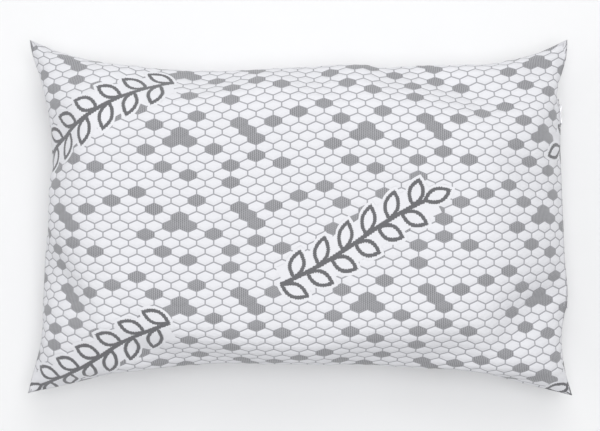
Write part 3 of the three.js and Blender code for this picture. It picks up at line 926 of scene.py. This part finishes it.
def as_mesh(curve_object):
    """A curve object turned into a mesh, and itself removed."""
    mesh = bpy.data.meshes.new_from_object(
        curve_object.evaluated_get(bpy.context.evaluated_depsgraph_get())
    )
    data = curve_object.data
    bpy.data.objects.remove(curve_object)
    bpy.data.curves.remove(data)
    return mesh


def thread_along(points, radius, sides, radii=None):
    """A round thread along the points, with closed ends, as a mesh."""
    curve = bpy.data.curves.new("thread", "CURVE")
    curve.dimensions = "3D"
    curve.bevel_depth = radius
    curve.bevel_resolution = sides
    curve.use_fill_caps = True
    spline = curve.splines.new("POLY")
    spline.points.add(len(points) - 1)
    spline.points.foreach_set("co", np.hstack([points, np.ones((len(points), 1))]).ravel())
    if radii is not None:
        spline.points.foreach_set("radius", radii)
    thread = bpy.data.objects.new("thread", curve)
    bpy.context.scene.collection.objects.link(thread)
    bpy.context.view_layer.update()
    return as_mesh(thread)


def rim_points(panel, start, end):
    """Points round a panel's edge, from start on the right-hand side, over the back, the left and the
    front, to end on the right-hand side."""
    right = panel[:, -1]
    behind = right[right[:, 1] > start]
    ahead = right[right[:, 1] < end]
    return np.concatenate([behind, panel[-1, -2::-1], panel[-2::-1, 0], panel[0, 1:], ahead[1:]])


def overlock(name, points, width, thickness, replaced):
    """Overlocking that wraps the raw edges: a flat strip of thread loops round the seam."""
    bulge = 0.16  # of each loop
    steps = np.linspace(0, len(points) - 1, 3 * len(points))
    dense = np.stack([np.interp(steps, np.arange(len(points)), points[:, k]) for k in range(3)], 1)
    loops = 1 + bulge * np.sin(np.arange(len(dense)) * math.tau / 3)
    mesh = thread_along(dense, width / 2, 1, loops)
    squeeze = thickness / width
    for v in mesh.vertices:
        v.co.z = SEAM_HEIGHT + v.co.z * squeeze
    return finished(name, mesh, "white_thread", replaced)


def merged_copy(node, bevel):
    """A CAD node's solid with its loose triangles merged, flat faces joined and edges rounded."""
    bm = bmesh.new()
    bm.from_mesh(frame["nodes"][node].data)
    bmesh.ops.remove_doubles(bm, verts=bm.verts[:], dist=1e-6)
    bmesh.ops.dissolve_limit(bm, angle_limit=math.radians(2), verts=bm.verts[:], edges=bm.edges[:])
    sharp = [e for e in bm.edges if len(e.link_faces) == 2 and e.calc_face_angle() > math.radians(28)]
    bmesh.ops.bevel(bm, geom=sharp, offset=bevel, offset_type="OFFSET", segments=3, profile=0.5,
                    affect="EDGES", clamp_overlap=True, material=-1)
    bmesh.ops.triangulate(bm, faces=[f for f in bm.faces if len(f.verts) > 4])
    return bm


def operator(kind):
    """Lets execute return nothing: a piece that can't be made has raised an error by then."""
    make = kind.execute

    def execute(self, context):
        make(self, context)
        return {"FINISHED"}

    kind.execute = execute
    return kind


# ---- operators -----------------------------------------------------------------------------------
@operator
class PILLOW_OT_cover(bpy.types.Operator):
    """Fill the sewn cover and make its two knit panels"""

    bl_idname = "pillow.cover"
    bl_label = "Knit Cover"

    def execute(self, context):
        sizes = context.scene.pillow_sizes
        top, bottom = cover_skin()
        edge_gap, slot_turn_in = 0.55 * MM, 1.7 * MM
        for name, panel, side, shift in (("top", top, 1, 0.0), ("bottom", bottom, -1, 1.31)):
            bm = panel_mesh(panel, side, sizes, edge_gap, sizes.allowance, slot_turn_in, shift)
            piece = finished("knit_cover_" + name, bm, "knit_cover", f"cover_{name}_panel")
            solid_wall(piece, sizes.cover_thickness)


@operator
class PILLOW_OT_seams(bpy.types.Operator):
    """Make the overlocked seams of the cover and of the liner"""

    bl_idname = "pillow.seams"
    bl_label = "Overlocked Seams"

    def execute(self, context):
        sizes = context.scene.pillow_sizes
        top, _ = cover_skin()
        share = np.array([1 - sizes.allowance / HALF_LENGTH, 1 - sizes.allowance / HALF_WIDTH, 0])
        start, end = (ZIP @ Vector((0, TAPE[1].y, 0))).y, (ZIP @ Vector((0, TAPE[0].y, 0))).y
        overlock("cover_overlock", rim_points(top * share, start, end), 4.4 * MM, 3.4 * MM,
                 "cover_seam_overlock")
        liner, _ = inner_skin(sizes.liner_inset + 4 * MM, 0)
        liner = liner * np.array([1, 1, 0])
        middle = liner[len(liner) // 2, -1, 1]
        overlock("liner_overlock", rim_points(liner, middle, middle), 3.6 * MM, 2.4 * MM,
                 "liner_seam_overlock")


@operator
class PILLOW_OT_liner(bpy.types.Operator):
    """Make the liner's two woven panels"""

    bl_idname = "pillow.liner"
    bl_label = "Liner"

    def execute(self, context):
        sizes = context.scene.pillow_sizes
        top, bottom = inner_skin(sizes.liner_inset, 2.4 * MM)
        edge_gap, turn_in = 0.35 * MM, 4 * MM
        for name, panel, side in (("top", top, 1), ("bottom", bottom, -1)):
            panel[:, -1, 2] = 0
            bm = panel_mesh(panel, side, sizes, edge_gap, turn_in, turn_in, 0.2)
            piece = finished("woven_liner_" + name, bm, "liner_cloth", f"liner_{name}_panel")
            solid_wall(piece, sizes.liner_thickness)


@operator
class PILLOW_OT_fill(bpy.types.Operator):
    """Make the shredded foam fill"""

    bl_idname = "pillow.fill"
    bl_label = "Foam Fill"

    def execute(self, context):
        crumb = 1.1 * MM  # half of how far a crumb stands out
        bm = bmesh.new()
        for panel, side in zip(inner_skin(context.scene.pillow_sizes.fill_inset, 4.2 * MM), (1, -1)):
            nv, nu = panel.shape[0] - 1, panel.shape[1] - 1
            made = bmesh.ops.create_grid(bm, x_segments=nu, y_segments=nv, size=1)["verts"]
            faces = {f for v in made for f in v.link_faces}
            normals = outward(panel, side)
            for v in made:
                i = round((v.co.x + 1) / 2 * nu)
                j = round((v.co.y + 1) / 2 * nv)
                co = Vector(panel[j, i])
                if 0 < i < nu and 0 < j < nv:
                    lump = math.sin(co.x * 331 + 2 * math.sin(co.y * 207))
                    lump *= math.sin(co.y * 367 + co.z * 290)
                    co -= Vector(normals[j, i]) * (1 + lump) * crumb
                else:
                    co.z = 0
                v.co = co + Vector((0, 0, SEAM_HEIGHT))
            if side < 0:
                bmesh.ops.reverse_faces(bm, faces=list(faces))
        bmesh.ops.remove_doubles(bm, verts=bm.verts[:], dist=1e-6)
        piece = finished("foam_crumbs", bm, "shredded_foam", "foam_fill")


def cover_surface(side):
    """The cover's panel on one side of the zipper, to cast rays at."""
    cover = bpy.data.objects["knit_cover_top" if side > 0 else "knit_cover_bottom"]
    mesh = cover.data
    return BVHTree.FromPolygons([v.co for v in mesh.vertices], [p.vertices for p in mesh.polygons])


def cover_at(surface, along, up):
    """Place and outward normal of the cover at a place on the zipper's side, or None where it is open."""
    outside, reach = 30 * MM, 70 * MM
    hit, normal, _, _ = surface.ray_cast(ZIP @ Vector((outside, along, up)), -OUT, reach)
    if hit is None:
        return None, None
    return hit, -normal if normal.dot(OUT) < 0 else normal


@operator
class PILLOW_OT_zipper_tapes(bpy.types.Operator):
    """Make the two woven tapes that carry the coils"""

    bl_idname = "pillow.zipper_tapes"
    bl_label = "Zipper Tapes"

    def execute(self, context):
        low, high = TAPE
        under = context.scene.pillow_sizes.cover_thickness + 0.4 * MM
        wide = high.z - low.z
        behind_coil, lean, ripple = 0.35 * MM, 0.16, 0.12 * MM
        for name, side in SIDES:
            surface = cover_surface(side)
            bm = bmesh.new()
            bmesh.ops.create_grid(bm, x_segments=140, y_segments=12, size=1)
            for v in bm.verts:
                along = low.y + (v.co.x + 1) / 2 * (high.y - low.y)
                up = low.z + (v.co.y + 1) / 2 * wide
                out = COIL[0].x - behind_coil - (up - low.z) * lean
                wave = ripple * math.sin(along * 420) * (up - low.z) / wide
                hit, _ = cover_at(surface, along, side * up)
                if hit is not None:
                    out = min(out, (ZIP.inverted() @ hit).x - under - wave)
                v.co = ZIP @ Vector((out + wave, along, side * up))
            bmesh.ops.recalc_face_normals(bm, faces=bm.faces[:])
            if bm.faces[:][0].normal.dot(OUT) < 0:
                bmesh.ops.reverse_faces(bm, faces=bm.faces[:])
            piece = finished("tape_" + name, bm, "zipper_tape", "zipper_tape_" + name)
            solid_wall(piece, 0.5 * MM)


@operator
class PILLOW_OT_zipper_coils(bpy.types.Operator):
    """Wind the two coils"""

    bl_idname = "pillow.zipper_coils"
    bl_label = "Zipper Coils"

    def execute(self, context):
        sizes = context.scene.zipper_sizes
        low, high = COIL
        wire = sizes.coil_wire
        steps_a_turn = 8
        turns = (high.y - low.y - 2 * wire) / sizes.coil_pitch
        angle = np.arange(int(turns * steps_a_turn) + 1) * math.tau / steps_a_turn
        inner, outer = 0.45 * MM + wire, high.z - wire
        for name, side in SIDES:
            x = (low.x + high.x) / 2 + np.sin(angle) * ((high.x - low.x) / 2 - wire)
            z = (inner + outer) / 2 - np.cos(angle) * (outer - inner) / 2
            lead = sizes.coil_pitch / 2 if side < 0 else 0  # the two sides' turns lie between each other
            y = low.y + wire + angle / math.tau * sizes.coil_pitch + lead
            y = np.minimum(y, high.y - wire)
            points = np.stack([x, y, side * z], 1)
            points = points @ np.array(ZIP.to_3x3()).T + np.array(ZIP.translation)
            finished("coil_" + name, thread_along(points, wire, 0), "zipper_coil", "zipper_coil_" + name)


@operator
class PILLOW_OT_zipper_metal(bpy.types.Operator):
    """Make the stops, the slider and its pull tab"""

    bl_idname = "pillow.zipper_metal"
    bl_label = "Slider and Stops"

    def execute(self, context):
        for node, name, body, bevel in (
            ("zipper_top_stop_upper", "top_stop_upper", "pillow", 0.35 * MM),
            ("zipper_top_stop_lower", "top_stop_lower", "pillow", 0.35 * MM),
            ("zipper_bottom_stop", "bottom_stop", "pillow", 0.45 * MM),
            ("zipper_slider", "slider_body", "slider", 0.22 * MM),
            ("zipper_pull_tab", "pull_tab_plate", "pull_tab", 0.22 * MM),
        ):
            finished(name, merged_copy(node, bevel), "zipper_metal", node, body=body)


@operator
class PILLOW_OT_zipper_sewing(bpy.types.Operator):
    """Sew the zipper in: two rows of lock stitch and a bar tack at each end"""

    bl_idname = "pillow.zipper_sewing"
    bl_label = "Zipper Sewing"

    def execute(self, context):
        sizes = context.scene.zipper_sizes
        thread = sizes.thread
        for name, side in SIDES:
            surface = cover_surface(side)
            bm = bmesh.new()
            up = side * (STITCHING[0].z + STITCHING[1].z) / 2
            count = int((ZIP_BACK - ZIP_FRONT) / sizes.stitch_pitch)
            for n in range(count):
                along = ZIP_FRONT + (n + 0.5) * (ZIP_BACK - ZIP_FRONT) / count
                hit, normal = cover_at(surface, along, up)
                if hit is None:
                    raise RuntimeError("a stitch found no cover under it")
                turn = Matrix((normal, ALONG, normal.cross(ALONG))).transposed().to_4x4()
                size = Matrix.Diagonal((thread * 0.5, sizes.stitch_pitch * 0.43, thread * 0.62, 1))
                bmesh.ops.create_icosphere(
                    bm, subdivisions=1, radius=1,
                    matrix=Matrix.Translation(hit + normal * thread * 0.12) @ turn @ size)
            finished("lock_stitch_" + name, bm, "white_thread", "zipper_stitching_" + name)
        for name, (low, high) in (("front", TACK_FRONT), ("back", TACK_BACK)):
            bm = bmesh.new()
            count = sizes.tack_threads
            for n in range(count):
                up = low.z + (n + 0.5) * (high.z - low.z) / count
                wander = 0.12 * MM * math.sin(n * 2.4)
                at = Vector(((low.x + high.x) / 2 - 0.25 * MM, (low.y + high.y) / 2 + wander, up))
                lie = Matrix.Rotation(math.radians(90 + 4 * math.sin(n * 1.9)), 4, "X")
                radius = (high.z - low.z) / count * 0.52
                bmesh.ops.create_cone(bm, cap_ends=True, segments=6, radius1=radius, radius2=radius,
                                      depth=high.y - low.y, matrix=ZIP @ Matrix.Translation(at) @ lie)
            ends = {e for e in bm.edges if e.calc_face_angle(0) > math.radians(80)}
            bmesh.ops.bevel(bm, geom=list(ends), offset=0.12 * MM, segments=1, profile=0.5, affect="EDGES",
                            material=-1)
            finished("bar_tack_" + name, bm, "white_thread", "zipper_end_tack_" + name)


@operator
class PILLOW_OT_care_label(bpy.types.Operator):
    """Fold the blank care label and hang it inside the front right seam"""

    bl_idname = "pillow.care_label"
    bl_label = "Care Label"

    def execute(self, context):
        sizes = context.scene.pillow_sizes
        _, bottom = cover_skin()
        normals = outward(bottom, -1)
        nv, nu = bottom.shape[0] - 1, bottom.shape[1] - 1
        low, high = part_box("care_label")
        middle = int(np.argmin(abs(bottom[:, -1, 1] - (low.y + high.y) / 2)))
        ribbon_half, ribbon_reach, from_seam = 16 * MM, 31 * MM, 3.2  # the last in columns of cells
        under_cover, half_gap, curl = 2.6 * MM, 0.55 * MM, 0.25 * MM
        half = ribbon_half / (sizes.cloth_width / nv)  # in rows of cells
        reach = ribbon_reach / (sizes.cloth_length / nu)  # in columns of cells

        def at(column, row):
            """Place and outward normal of the bottom panel between its points."""
            i, j = int(column), int(row)
            s, t = column - i, row - j
            place, lean = np.zeros(3), np.zeros(3)
            for di, dj, share in ((0, 0, (1 - s) * (1 - t)), (1, 0, s * (1 - t)),
                                  (0, 1, (1 - s) * t), (1, 1, s * t)):
                place += bottom[min(j + dj, nv), min(i + di, nu)] * share
                lean += normals[min(j + dj, nv), min(i + di, nu)] * share
            return Vector(place), Vector(lean).normalized()

        bm = bmesh.new()
        cloth = bm.loops.layers.uv.new("cloth")
        bmesh.ops.create_grid(bm, x_segments=48, y_segments=16, size=1)
        for face in bm.faces:
            for loop in face.loops:
                loop[cloth].uv = (loop.vert.co.x * ribbon_reach, loop.vert.co.y * ribbon_half)
        for v in bm.verts:
            run, across = v.co.x, v.co.y
            fold = 1 - abs(run)  # 0 at the two sewn ends and 1 at the fold
            place, lean = at(nu - from_seam - fold * reach, middle + across * half)
            apart = half_gap * (1 if run > 0 else -1) * math.sin(min(1, 6 * (1 - fold)) * math.pi / 2)
            wave = curl * math.sin(across * 5 + fold * 4)
            v.co = place - lean * (under_cover + apart + wave) + Vector((0, 0, SEAM_HEIGHT))
        piece = finished("care_ribbon", bm, "label_ribbon", "care_label")
        solid_wall(piece, 0.15 * MM)
        piece.modifiers["wall"].offset = 0


@operator
class PILLOW_OT_stage(bpy.types.Operator):
    """Lay the floor and set the lights and the camera"""

    bl_idname = "pillow.stage"
    bl_label = "Stage"

    def execute(self, context):
        scene = context.scene
        scene.view_settings.view_transform = "Standard"
        bm = bmesh.new()
        bmesh.ops.create_grid(bm, x_segments=8, y_segments=8, size=6)
        mesh = bpy.data.meshes.new("floor")
        bm.to_mesh(mesh)
        bm.free()
        mesh.materials.append(finish_of("floor"))
        floor = bpy.data.objects.new("floor", mesh)
        scene.collection.objects.link(floor)

        world = bpy.data.worlds.new("studio")
        world.use_nodes = True
        sky = world.node_tree.nodes["Background"]
        sky.inputs["Color"].default_value = (0.97, 0.98, 1.0, 1)
        sky.inputs["Strength"].default_value = 0.52
        scene.world = world
        for name, place, aim, size, power in (
            ("soft_key", (0.2, 1.7, 2.5), (0, 0, 0.05), 1.8, 20),
            ("side_fill", (-2.2, 0.1, 1.9), (0, 0, 0.05), 2.0, 6),
            ("overhead", (0.2, 0.15, 3.3), (0, -0.05, 0.0), 1.8, 38),
        ):
            data = bpy.data.lights.new(name, "AREA")
            data.shape = "DISK"
            data.size = size
            data.energy = power
            lamp = bpy.data.objects.new(name, data)
            lamp.location = place
            lamp.rotation_euler = (Vector(aim) - Vector(place)).to_track_quat("-Z", "Y").to_euler()
            scene.collection.objects.link(lamp)

        above_seam = 2.275
        view = bpy.data.cameras.new("camera")
        view.lens = 100
        view.clip_end = 50
        camera = bpy.data.objects.new("camera", view)
        camera.location = (0.0007, 0.002, SEAM_HEIGHT + above_seam)
        scene.collection.objects.link(camera)
        scene.camera = camera


PIECES = (
    PILLOW_OT_stage,
    PILLOW_OT_cover,
    PILLOW_OT_seams,
    PILLOW_OT_liner,
    PILLOW_OT_fill,
    PILLOW_OT_zipper_tapes,
    PILLOW_OT_zipper_coils,
    PILLOW_OT_zipper_metal,
    PILLOW_OT_zipper_sewing,
    PILLOW_OT_care_label,
)


class VIEW3D_PT_pillow(bpy.types.Panel):
    """Sizes, colours and pieces of the pillow"""

    bl_idname = "VIEW3D_PT_pillow"
    bl_label = "Bed Pillow"
    bl_space_type = "VIEW_3D"
    bl_region_type = "UI"
    bl_category = "Pillow"

    def draw(self, context):
        scene = context.scene
        for group in (scene.pillow_sizes, scene.zipper_sizes, scene.pillow_colours):
            box = self.layout.box()
            for key in group.__annotations__:
                box.prop(group, key)
        for piece in PIECES:
            self.layout.operator(piece.bl_idname)


CLASSES = (PillowSizes, ZipperSizes, PillowColours, *PIECES, VIEW3D_PT_pillow)


def register():
    for kind in CLASSES:
        bpy.utils.register_class(kind)
    bpy.types.Scene.pillow_sizes = PointerProperty(type=PillowSizes)
    bpy.types.Scene.zipper_sizes = PointerProperty(type=ZipperSizes)
    bpy.types.Scene.pillow_colours = PointerProperty(type=PillowColours)


def unregister():
    del bpy.types.Scene.pillow_colours
    del bpy.types.Scene.zipper_sizes
    del bpy.types.Scene.pillow_sizes
    for kind in reversed(CLASSES):
        bpy.utils.unregister_class(kind)


def main():
    register()
    for piece in PIECES:
        group, name = piece.bl_idname.split(".")
        getattr(getattr(bpy.ops, group), name)()


if __name__ == "__main__":
    main()
